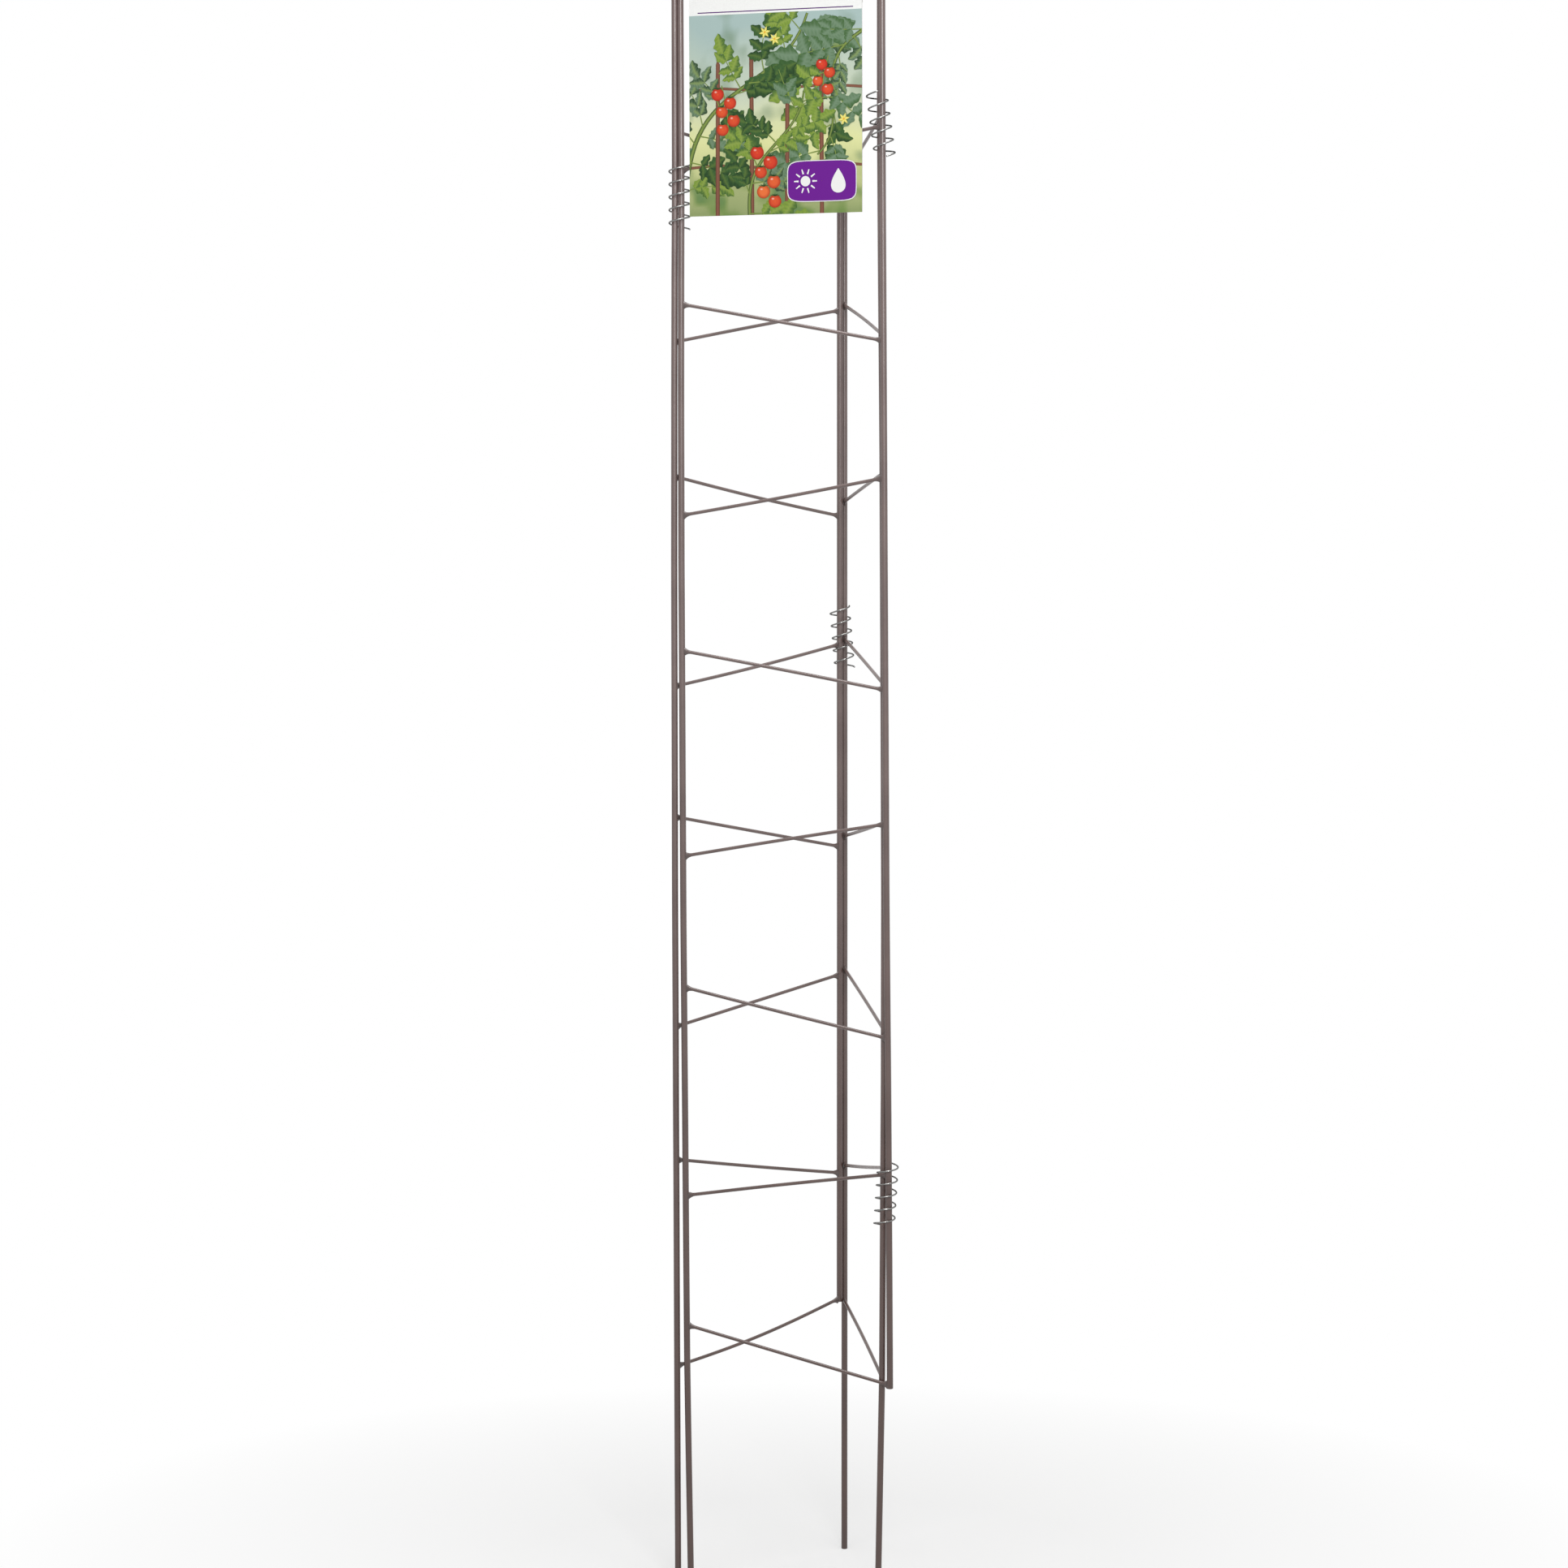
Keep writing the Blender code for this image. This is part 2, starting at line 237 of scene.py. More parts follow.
def wireMaterial(name):
    look = wireLook
    material, tree, shader = newMaterial(name)
    run = addNode(tree, "ShaderNodeMath", {0: attributeOf(tree, "along"), 1: 1 / look["streakLength"]},
                  operation="MULTIPLY").outputs[0]
    streak = addNode(tree, "ShaderNodeCombineXYZ", {
        "X": run, "Y": attributeOf(tree, "aroundX"), "Z": attributeOf(tree, "aroundY")}).outputs[0]
    lines = noiseOf(tree, streak, look["streaks"], 4, 0.65)
    stops = zip(look["streakSpread"], (look["dark"], look["light"]))
    tree.links.new(rampOf(tree, lines, stops), shader.inputs["Base Color"])
    tree.links.new(rangeOf(tree, lines, *noiseSpread, *look["roughness"]), shader.inputs["Roughness"])
    tree.links.new(bumpOf(tree, lines, look["streakStrength"], look["streakDepth"]),
                   shader.inputs["Normal"])
    shader.inputs["Metallic"].default_value = 1.0
    shader.inputs["Specular Tint"].default_value = (*look["edge"], 1)
    return material


# card

boardLook = {
    "fibre": 900,
    "fibreShade": 0.94,      # of the board's colour, in the darker fibres
    "fibreStrength": 0.2,
    "fibreDepth": 0.00003,
    "roughnessSpread": 0.05,
    "gloss": 0.2,
}
boards = {
    "cardFace": {"color": (0.78, 0.785, 0.77), "roughness": 0.55},
    "cardBack": {"color": (0.66, 0.655, 0.63), "roughness": 0.62},
    "cardCore": {"color": (0.78, 0.77, 0.74), "roughness": 0.80},
}


def boardMaterial(name, color, roughness):
    look = boardLook
    material, tree, shader = newMaterial(name)
    fibre = noiseOf(tree, objectCoords(tree), look["fibre"], 5, 0.65)
    shades = ([part * look["fibreShade"] for part in color], color)
    tree.links.new(rampOf(tree, fibre, zip(noiseSpread, shades)), shader.inputs["Base Color"])
    spread = look["roughnessSpread"]
    tree.links.new(rangeOf(tree, fibre, *noiseSpread, roughness - spread, roughness + spread),
                   shader.inputs["Roughness"])
    tree.links.new(bumpOf(tree, fibre, look["fibreStrength"], look["fibreDepth"]),
                   shader.inputs["Normal"])
    shader.inputs["Specular IOR Level"].default_value = look["gloss"]
    return material


inkLook = {
    "grain": 2600,
    "grainShade": 0.93,      # of the ink's colour, in the darker grains
    "grainStrength": 0.12,
    "grainDepth": 0.00002,
    "smear": 60,             # patches a metre of rougher ink
    "roughness": (0.45, 0.55),
    "gloss": 0.15,
}


def inkMaterial(name):
    look = inkLook
    material, tree, shader = newMaterial(name)
    coords = objectCoords(tree)
    grain = noiseOf(tree, coords, look["grain"], 3, 0.6)
    shades = rampOf(tree, grain, zip(noiseSpread, ([look["grainShade"]] * 3, [1.0] * 3)))
    color = mixOf(tree, 1.0, attributeOf(tree, "ink", "Color"), shades, "MULTIPLY")
    tree.links.new(color, shader.inputs["Base Color"])
    smear = noiseOf(tree, coords, look["smear"], 3)
    tree.links.new(rangeOf(tree, smear, *noiseSpread, *look["roughness"]), shader.inputs["Roughness"])
    tree.links.new(bumpOf(tree, grain, look["grainStrength"], look["grainDepth"]),
                   shader.inputs["Normal"])
    shader.inputs["Specular IOR Level"].default_value = look["gloss"]
    return material


coat = coatMaterial("taupePowderCoat")
wire = wireMaterial("drawnSteelWire")
cardBoards = [boardMaterial(name, **facts) for name, facts in boards.items()]
cardInk = inkMaterial("cardInk")
print("materials made")


# mesh helpers

def nodePoints(node):
    return list({tuple(round(part, 6) for part in vertex.co)
                 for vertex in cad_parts[node].data.vertices})


def meanOf(points):
    return sum((Vector(point) for point in points), Vector()) / len(points)


# The axis of a straight bar, from the middles of what lies within reach of its two ends. An
# upright's foot comes first.
def barEnds(node, reach=0.001):
    points = nodePoints(node)
    low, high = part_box(node)
    longest = max(range(3), key=lambda axis: high[axis] - low[axis])
    first = meanOf([point for point in points if point[longest] < low[longest] + reach])
    last = meanOf([point for point in points if point[longest] > high[longest] - reach])
    along = (last - first) / (last[longest] - first[longest])
    return (first + along * (low[longest] - first[longest]),
            last + along * (high[longest] - last[longest]))


def ringAngles(sides):
    return [2 * math.pi * index / sides for index in range(sides)]


# A closed tube through rings of points, with each point's values for the mesh's layers.
def skinRings(solid, rings, layers):
    loops = []
    for ring, values in zip(rings, layers):
        loop = [solid.verts.new(point) for point in ring]
        for vertex, value in zip(loop, values):
            for layer, part in value.items():
                vertex[layer] = part
        loops.append(loop)
    count = len(loops[0])
    for lower, upper in zip(loops, loops[1:]):
        for index in range(count):
            after = (index + 1) % count
            solid.faces.new((lower[index], lower[after], upper[after], upper[index]))
    for loop in (loops[0], loops[-1]):
        solid.faces.new(loop)


def addPiece(name, solid, materials, body, node, sharp=40):
    bmesh.ops.recalc_face_normals(solid, faces=solid.faces)
    mesh = bpy.data.meshes.new(name)
    solid.to_mesh(mesh)
    solid.free()
    mesh.shade_smooth()
    mesh.set_sharp_from_angle(angle=math.radians(sharp))
    for material in materials:
        mesh.materials.append(material)
    piece = addObject(name, mesh)
    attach(piece, body)
    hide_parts(node)


# uprights

uprightLook = {
    "radius": 0.00278,       # the CAD bar's 0.0027 and a coat on it
    "sides": 28,
    "step": 0.02,            # between rings
    "sway": 0.00008,         # how far a bar strays from its bends
    "swayWaves": 9.0,        # a metre
    "swayShift": 7.3,        # in the noise, from one bar to the next
    "calm": 0.05,            # the length at each end where the sway fades out
    "endRound": 0.0007,
    "endStep": 0.3,          # the share of that rounding where its middle ring lies
}
panels = {
    "front": ("front_left_upright", "front_right_upright"),
    "middle": ("middle_front_upright", "middle_back_upright"),
    "left": ("left_back_upright", "left_front_upright"),
}

# Heights, and how far along x a bar is bent there: the legs spread and the tops draw together.
bends = {
    "left_front_upright": [(0.0, 0.0016), (0.2, 0.0013), (0.6, 0.0006), (0.76, 0.0006), (0.91, 0.0007),
                           (1.0, 0.0010), (1.06, 0.0012), (1.16, 0.0018), (1.23, 0.0025), (1.42, 0.0026)],
    "front_left_upright": [(0.0, 0.0034), (0.12, 0.0019), (0.2, 0.0010), (0.6, 0.0), (0.91, 0.0002),
                           (1.06, 0.0008), (1.16, 0.0015), (1.23, 0.0022), (1.42, 0.0023)],
    "middle_front_upright": [(0.0, -0.0046), (0.2, -0.0007), (0.31, -0.0001), (0.46, 0.0008),
                             (0.62, 0.0009), (0.76, 0.0004), (1.0, -0.0008), (1.16, -0.0023),
                             (1.29, -0.0032), (1.42, -0.0033)],
    "front_right_upright": [(0.19, 0.0010), (0.31, 0.0007), (0.46, 0.0), (0.62, -0.0010),
                            (0.91, -0.0019), (1.06, -0.0023), (1.29, -0.0028), (1.42, -0.0028)],
    "left_back_upright": [(0.23, -0.0002), (0.41, -0.0001), (0.6, 0.0), (0.76, 0.0),
                          (0.91, 0.0001), (1.16, 0.0002), (1.42, 0.0002)],
    "middle_back_upright": [(0.0, 0.0), (0.3, 0.0001), (0.76, 0.0001), (0.91, 0.0),
                            (1.16, 0.0), (1.42, -0.0001)],
}


def bendAt(node, height):
    marks = bends[node]
    for (low, first), (high, second) in zip(marks, marks[1:]):
        if height <= high:
            share = max(0.0, (height - low) / (high - low))
            return Vector((first + (second - first) * share, 0, 0))
    return Vector((marks[-1][1], 0, 0))


def crossAxes(along):
    side = along.cross(upward)
    side = side.normalized() if side.length > 0.1 else along.cross(Vector((0, 1, 0))).normalized()
    return side, along.cross(side).normalized()


def makeUpright(node, body, seed):
    look = uprightLook
    foot, head = barEnds(node)
    along = (head - foot).normalized()
    length = (head - foot).length
    side, over = crossAxes(along)
    edge = look["endRound"]
    between = edge * look["endStep"]
    stations = [(0.0, look["radius"] - edge), (between, look["radius"] - between),
                (edge, look["radius"])]
    count = int(length / look["step"])
    stations += [(edge + (length - 2 * edge) * step / count, look["radius"])
                 for step in range(1, count)]
    stations += [(length - place, radius) for place, radius in reversed(stations[:3])]
    solid = bmesh.new()
    weld = solid.verts.layers.float.new("weld")
    rings, layers = [], []
    for place, radius in stations:
        calm = min(1.0, place / look["calm"], (length - place) / look["calm"])
        spot = Vector((seed * look["swayShift"], place * look["swayWaves"], 0.5))
        stray = noise.noise_vector(spot) * look["sway"] * calm
        stray -= along * stray.dot(along)
        centre = foot + along * place + stray + bendAt(node, foot.z + place)
        rings.append([centre + side * (radius * math.cos(angle)) + over * (radius * math.sin(angle))
                      for angle in ringAngles(look["sides"])])
        layers.append([{weld: 0.0}] * look["sides"])
    skinRings(solid, rings, layers)
    addPiece(node + "_bar", solid, [coat], body, node)


for order, (panel, uprights) in enumerate(panels.items()):
    for end, node in enumerate(uprights):
        makeUpright(node, panel + "_panel", order * 2 + end + 1)
print("uprights made")


# rungs with their welds

rungLook = {
    "radius": 0.0015,        # the CAD wire's 0.0014 and a coat on it
    "sides": 18,
    "weldUp": 0.0036,        # half height of the weld on the upright
    "weldSide": 0.0016,      # half width of the weld round the upright
    "weldLength": 0.0066,
    "weldCurves": (2.3, 3),  # how steeply the weld's height and width rise towards the upright
    "weldSteps": 10,
    "weldCrowd": 1.4,        # how much closer the rings lie near the upright
    "sunk": 0.0003,          # how deep the weld's rim lies in the upright
    "slump": 0.00035,
    "lump": 0.16,            # unevenness of the weld
    "lumpWaves": (1.3, 420),     # round the weld, and a metre along it
    "lumpShift": 5.1,        # in the noise, from one rung to the next
    "step": 0.008,
    "bow": 0.0007,
    "sags": {"left_rung_4": -0.0012, "left_rung_5": -0.0012, "left_rung_9": -0.0040,
             "middle_rung_9": 0.0018},
}


# Where a rung's line meets an upright's axis.
def meetingPoint(origin, along, foot, rise):
    gap = foot - origin
    both = along.dot(rise)
    share = (gap.dot(rise) * -1 + gap.dot(along) * both) / (1 - both ** 2)
    return foot + rise * share


def makeRung(node, body, uprights, seed):
    look = rungLook
    barRadius = uprightLook["radius"]
    first, last = barEnds(node)
    along = (last - first).normalized()
    axes = []
    for upright in uprights:
        foot, head = barEnds(upright)
        axes.append((foot, (head - foot).normalized()))
    roots = [meetingPoint(first, along, foot, rise) for foot, rise in axes]
    roots = [root + bendAt(upright, root.z) for upright, root in zip(uprights, roots)]
    roots.sort(key=lambda root: (root - first).length)
    start, end = roots
    rise = axes[0][1]
    along = (end - start).normalized()
    side = along.cross(rise).normalized()
    length = (end - start).length
    chance = random.Random(seed)
    bow = Vector((0, chance.uniform(-1, 1), chance.uniform(-1, 1))) * look["bow"]
    bow.z += look["sags"].get(node, 0.0)

    distances = [barRadius - look["sunk"] + (look["weldLength"] + look["sunk"])
                 * (step / look["weldSteps"]) ** look["weldCrowd"]
                 for step in range(look["weldSteps"] + 1)]
    clear = distances[-1]
    count = int((length - 2 * clear) / look["step"])
    places = distances + [clear + (length - 2 * clear) * step / count for step in range(1, count)]
    places += [length - distance for distance in reversed(distances)]

    upCurve, sideCurve = look["weldCurves"]
    around, lengthwise = look["lumpWaves"]
    solid = bmesh.new()
    weld = solid.verts.layers.float.new("weld")
    rings, layers = [], []
    for place in places:
        near = min(place, length - place)
        towards = 1 if place < length / 2 else -1
        left = min(1.0, max(0.0, 1 - (near - barRadius) / look["weldLength"]))
        halfUp = look["radius"] + (look["weldUp"] - look["radius"]) * left ** upCurve
        halfSide = look["radius"] + (look["weldSide"] - look["radius"]) * left ** sideCurve
        share = math.sin(math.pi * place / length)
        centre = start + along * place + side * (bow.y * share) + rise * (bow.z * share)
        ring, values = [], []
        for angle in ringAngles(look["sides"]):
            rough = noise.noise(Vector((math.cos(angle) * around, math.sin(angle) * around,
                                        near * lengthwise + seed * look["lumpShift"] + towards)))
            swell = 1 + look["lump"] * rough * left
            out = halfSide * math.cos(angle) * swell
            up = halfUp * math.sin(angle) * swell - look["slump"] * left ** 2
            wrap = barRadius - math.sqrt(max(0.0, barRadius ** 2 - out ** 2))
            ring.append(centre + side * out + rise * up - along * (towards * wrap * left))
            values.append({weld: left})
        rings.append(ring)
        layers.append(values)
    skinRings(solid, rings, layers)
    addPiece(node + "_wire", solid, [coat], body, node, 60)


rowCount = 9
for order, (panel, uprights) in enumerate(panels.items()):
    for row in range(1, rowCount + 1):
        makeRung(f"{panel}_rung_{row}", panel + "_panel", uprights, order * 20 + row)
print("rungs made")


# spirals

spiralLook = {
    "turns": 5,
    "pitch": 0.0111,
    "diameter": 0.0192,
    "wire": 0.0014,
    "steps": 44,             # along each turn
    "sides": 12,
    "cutRound": 0.00012,
    "pointsInSolid": 51,     # along the solid's own wire
}
spirals = {
    "front_upper_spiral": {"body": "middle_panel", "start": 297, "lean": 8.0, "leanTo": 216,
                           "holds": ("front_right_upright", "middle_front_upright")},
    "front_lower_spiral": {"body": "middle_panel", "start": 117, "lean": -3.6, "leanTo": 216,
                           "holds": ("front_right_upright", "middle_front_upright")},
    "back_upper_spiral": {"body": "middle_panel", "start": 202, "lean": 0.0, "leanTo": 156,
                          "holds": ("left_back_upright", "middle_back_upright")},
    "back_middle_spiral": {"body": "middle_panel", "start": 27, "lean": 4.8, "leanTo": 202,
                           "holds": ("left_back_upright", "middle_back_upright")},
    "closing_spiral": {"body": "front_panel", "start": 22, "lean": 0.0, "leanTo": 6,
                       "holds": ("front_left_upright", "left_front_upright")},
}


def flat(azimuth):
    return Vector((math.cos(azimuth), math.sin(azimuth), 0))


def makeSpiral(node, facts):
    look = spiralLook
    coil = (look["diameter"] - look["wire"]) / 2
    half, cut = look["wire"] / 2, look["cutRound"]
    start = math.radians(facts["start"])
    tilt = Matrix.Rotation(math.radians(facts["lean"]), 3,
                           upward.cross(flat(math.radians(facts["leanTo"]))))
    # The solid's points start and end on the same side, which pulls their mean off the axis.
    centre = meanOf(nodePoints(node)) - tilt @ (flat(start) * coil / look["pointsInSolid"])
    centre += sum((bendAt(upright, centre.z) for upright in facts["holds"]), Vector()) / 2
    height = look["turns"] * look["pitch"]
    count = look["turns"] * look["steps"]
    climb = look["pitch"] / (2 * math.pi * coil)
    solid = bmesh.new()
    along = solid.verts.layers.float.new("along")
    aroundX = solid.verts.layers.float.new("aroundX")
    aroundY = solid.verts.layers.float.new("aroundY")
    rings, layers = [], []
    for step in range(count + 1):
        turned = step / look["steps"]
        azimuth = start + 2 * math.pi * turned
        outward = flat(azimuth)
        middle = outward * coil + upward * (turned * look["pitch"] - height / 2)
        forward = (flat(azimuth + math.pi / 2) + upward * climb).normalized()
        over = forward.cross(outward)
        run = turned * 2 * math.pi * coil
        shifts = [(0.0, half)]
        if step == 0:
            shifts.insert(0, (-cut, half - cut))
        if step == count:
            shifts.append((cut, half - cut))
        for shift, radius in shifts:
            ring, values = [], []
            for angle in ringAngles(look["sides"]):
                spread = outward * math.cos(angle) + over * math.sin(angle)
                ring.append(centre + tilt @ (middle + forward * shift + spread * radius))
                values.append({along: run, aroundX: math.cos(angle), aroundY: math.sin(angle)})
            rings.append(ring)
            layers.append(values)
    skinRings(solid, rings, layers)
    addPiece(node + "_wire", solid, [wire], facts["body"], node, 50)


for node, facts in spirals.items():
    makeSpiral(node, facts)
print("spirals made")


# card

cardShape = {
    "width": 0.1585,
    "height": 0.2075,        # below the top rung's axis
    "thickness": 0.0008,
    "rungGap": 0.0003,
    "foldSteps": 20,
    "pinch": 0.0104,         # below the rung's axis, where the flap meets the front sheet
    "pinchSteps": 4,
    "flap": 0.030,
    "flapGap": 0.0004,
    "bow": 0.0011,           # how far the foot curls outward
    "bowStart": 0.03,        # below the rung's axis
    "bowMiddle": 0.7,        # of the bow, half way across; its corners have 0.25 more
    "columns": 24,
    "rows": 30,
}


# The card's own frame: x from its left edge, y towards the tower, z up from the rung's axis.
def cardFrame():
    first, last = barEnds("front_rung_1")
    along = (last - first).normalized()
    middle = (first + last) / 2
    low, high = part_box("hang_card")
    edge = (low.x + high.x) / 2 - cardShape["width"] / 2
    origin = middle + along * ((edge - middle.x) / along.x)
    inward = upward.cross(along).normalized()
    turn = Matrix((along, inward, along.cross(inward))).transposed().to_4x4()
    return Matrix.Translation(origin) @ turn


cardPlace = cardFrame()
cardInside = rungLook["radius"] + cardShape["rungGap"]
cardOutside = cardInside + cardShape["thickness"]


def cardSurface(x, y, z):
    look = cardShape
    drop = max(0.0, -z - look["bowStart"]) / (look["height"] - look["bowStart"])
    across = x / look["width"] - 0.5
    return cardPlace @ Vector((x, y - look["bow"] * drop ** 2 * (look["bowMiddle"] + across ** 2), z))


# The outer and the inner side in section, as (y, z) from the front sheet's foot to the flap's end.
def cardOutline():
    look = cardShape
    down = [-look["height"] * step / look["rows"] for step in range(look["rows"], 0, -1)]
    outer = [(-cardOutside, z) for z in down]
    inner = [(-cardInside, z) for z in down]
    for step in range(look["foldSteps"] + 1):
        angle = math.pi * (1 - step / look["foldSteps"])
        outer.append((cardOutside * math.cos(angle), cardOutside * math.sin(angle)))
        inner.append((cardInside * math.cos(angle), cardInside * math.sin(angle)))
    flapIn = look["flapGap"] - cardInside
    for step in range(1, look["pinchSteps"] + 1):
        share = step / look["pinchSteps"]
        ease = share * share * (3 - 2 * share)
        inner.append((cardInside + (flapIn - cardInside) * ease, -look["pinch"] * share))
        outer.append((cardOutside + (flapIn + look["thickness"] - cardOutside) * ease,
                      -look["pinch"] * share))
    inner.append((flapIn, -look["flap"]))
    outer.append((flapIn + look["thickness"], -look["flap"]))
    return outer, inner


# A row of faces between two rows of as many points.
def joinRows(solid, lower, upper, material=0):
    for index in range(len(lower) - 1):
        face = solid.faces.new((lower[index], lower[index + 1], upper[index + 1], upper[index]))
        face.material_index = material


def makeCard():
    look = cardShape
    faceBoard, backBoard, coreBoard = range(len(cardBoards))
    solid = bmesh.new()
    columns = [look["width"] * step / look["columns"] for step in range(look["columns"] + 1)]
    front, back = [[[solid.verts.new(cardSurface(x, y, z)) for x in columns] for y, z in outline]
                   for outline in cardOutline()]
    for sheet, material in ((front, faceBoard), (back, backBoard)):
        for lower, upper in zip(sheet, sheet[1:]):
            joinRows(solid, lower, upper, material)
    for row in (0, -1):
        joinRows(solid, front[row], back[row], coreBoard)
    for column in (0, -1):
        joinRows(solid, [points[column] for points in front], [points[column] for points in back],
                 coreBoard)
    addPiece("hang_card_board", solid, cardBoards, "hang_card", "hang_card")


makeCard()
print("card made")


# what is printed on the card

printLook = {
    "foot": -cardShape["height"],
    "top": -0.0355,          # where the plain header starts
    "layer": 0.0000025,      # step between printed layers
    "climb": 0.8,            # of a layer, over the rows of one shape
    "thick": 0.6,            # of a layer, for the ink itself
    "leafLayers": 96,        # leaves take turns on these, so that few meet on one layer
}
# The layer where each kind of shape starts, counted outward from the board.
printLayers = {"ground": 0, "headerRule": 0, "rails": 3, "slats": 6, "leaves": 10, "fruit": 108,
               "blossoms": 124, "badge": 130}
inks = {
    "white": boards["cardFace"]["color"],
    "badge": (0.135, 0.012, 0.250),
    "wood": (0.235, 0.098, 0.062),
    "woodDark": (0.120, 0.046, 0.030),
    "stem": (0.105, 0.165, 0.035),
    "stemPale": (0.230, 0.310, 0.075),
    "deep": (0.016, 0.044, 0.015),
    "green": (0.046, 0.112, 0.032),
    "sage": (0.150, 0.235, 0.145),
    "lime": (0.220, 0.325, 0.048),
    "red": (0.600, 0.046, 0.023),
    "redRim": (0.270, 0.012, 0.008),
    "orange": (0.750, 0.170, 0.046),
    "unripe": (0.240, 0.340, 0.050),
    "petal": (0.740, 0.640, 0.060),
}


def blend(first, second, share):
    share = min(1.0, max(0.0, share))
    return [a + (b - a) * share for a, b in zip(first, second)]


def inkVertex(sheet, x, z, layer, color):
    vertex = sheet.verts.new((x, -(layer + 1) * printLook["layer"], z))
    vertex[sheet.verts.layers.float_color["ink"]] = (*color, 1.0)
    return vertex


# Rows of (x, z, color), with faces between each row and the next. It climbs by part of a layer,
# so that two shapes on one layer cross in a clean line.
def inkStrip(sheet, rows, layer):
    climb = printLook["climb"] / len(rows)
    made = [[inkVertex(sheet, x, z, layer + climb * order, color) for x, z, color in row]
            for order, row in enumerate(rows)]
    for lower, upper in zip(made, made[1:]):
        joinRows(sheet, lower, upper)


# A line through points, with a width at each, and one colour along its edges and one between.
def inkRibbon(sheet, points, widths, layer, edge, middle):
    rows = []
    for index, (x, z) in enumerate(points):
        before = points[max(0, index - 1)]
        after = points[min(len(points) - 1, index + 1)]
        length = math.hypot(after[0] - before[0], after[1] - before[1])
        across, over = (before[1] - after[1]) / length, (after[0] - before[0]) / length
        half = widths[index] / 2
        rows.append([(x - across * half, z - over * half, edge), (x, z, middle),
                     (x + across * half, z + over * half, edge)])
    inkStrip(sheet, rows, layer)


# A filled shape round one point: a rule gives its reach in each direction. Colours run outward.
def inkBlob(sheet, x, z, reach, layer, colors, sides=28):
    reaches = [reach(2 * math.pi * index / sides) for index in range(sides + 1)]
    rows = []
    for level, color in enumerate(colors):
        share = max(0.01, level / (len(colors) - 1))
        rows.append([(x + across * share, z + over * share, color) for across, over in reaches])
    inkStrip(sheet, rows, layer)


def roundReach(radius, squash=1.0):
    return lambda angle: (radius * math.cos(angle), radius * squash * math.sin(angle))


def boxReach(width, height, power=6):
    def reach(angle):
        cosine, sine = math.cos(angle), math.sin(angle)
        scale = (abs(cosine) ** power + abs(sine) ** power) ** (-1 / power)
        return width / 2 * scale * cosine, height / 2 * scale * sine
    return reach


groundLook = {
    "grid": (64, 70),
    "colors": [(0.25, 0.31, 0.13), (0.66, 0.68, 0.33), (0.54, 0.60, 0.45), (0.35, 0.46, 0.44)],
    "levels": (0.0, 0.36, 0.62, 0.92),   # of the picture's height: grass, field, haze, sky
    "sway": 0.12,            # how far these wander up and down
    "swayWaves": (20, 15),   # a metre
    "clumpWaves": (42, 38),
    "fineWaves": (95, 85),
    "fineShare": 0.45,
    "bush": (0.12, 0.22, 0.035),
    "bushTop": 0.34,         # of the picture's height
    "bushSharp": 7.2,
    "sageSharp": 1.1,
    "clumpEdge": 0.10,
}


# The soft ground: a pale sky over a pale field, with blurred bushes near its foot.
def groundColor(x, z):
    look = groundLook
    height = (z - printLook["foot"]) / (printLook["top"] - printLook["foot"])
    across, upwards = look["swayWaves"]
    level = height + noise.noise(Vector((x * across, z * upwards, 3.1))) * look["sway"]
    color = look["colors"][0]
    for low, high, further in zip(look["levels"], look["levels"][1:], look["colors"][1:]):
        color = blend(color, further, (level - low) / (high - low))
    across, upwards = look["clumpWaves"]
    clump = noise.noise(Vector((x * across + 5, z * upwards, 8.0)))
    across, upwards = look["fineWaves"]
    clump += noise.noise(Vector((x * across, z * upwards, 2.0))) * look["fineShare"]
    low = max(0.0, look["bushTop"] - height)
    color = blend(color, look["bush"], (clump + look["clumpEdge"]) * look["bushSharp"] * low)
    return blend(color, inks["sage"], (clump - look["clumpEdge"]) * look["sageSharp"])


def printGround(sheet):
    foot, top = printLook["foot"], printLook["top"]
    columns, rows = groundLook["grid"]
    places = [cardShape["width"] * column / columns for column in range(columns + 1)]
    heights = [foot + (top - foot) * row / rows for row in range(rows + 1)]
    inkStrip(sheet, [[(x, z, groundColor(x, z)) for x in places] for z in heights],
             printLayers["ground"])


fenceLook = {
    "rails": (-0.100, -0.166),
    "railWidth": 0.0024,
    "railWave": 0.0016,
    "railSteps": 6,
    "slats": (0.026, 0.058, 0.090, 0.122),
    "slatWidth": 0.0038,
    "slatTop": -0.078,
    "slatUneven": 0.006,     # how much their tops differ
    "slatLean": 0.0006,      # one way and the other by turns
    "point": 0.004,
    "pointWidth": 0.0003,
}


def printFence(sheet):
    look = fenceLook
    steps = look["railSteps"]
    for z in look["rails"]:
        points = [(cardShape["width"] * step / steps, z + look["railWave"] * math.sin(step * 1.7))
                  for step in range(steps + 1)]
        inkRibbon(sheet, points, [look["railWidth"]] * len(points), printLayers["rails"],
                  inks["woodDark"], inks["wood"])
    for order, x in enumerate(look["slats"]):
        head = look["slatTop"] + look["slatUneven"] * math.sin(order * 2.1)
        points = [(x, printLook["foot"]), (x + look["slatLean"] * (-1) ** order, head),
                  (x, head + look["point"])]
        inkRibbon(sheet, points, [look["slatWidth"], look["slatWidth"], look["pointWidth"]],
                  printLayers["slats"], inks["woodDark"], inks["wood"])


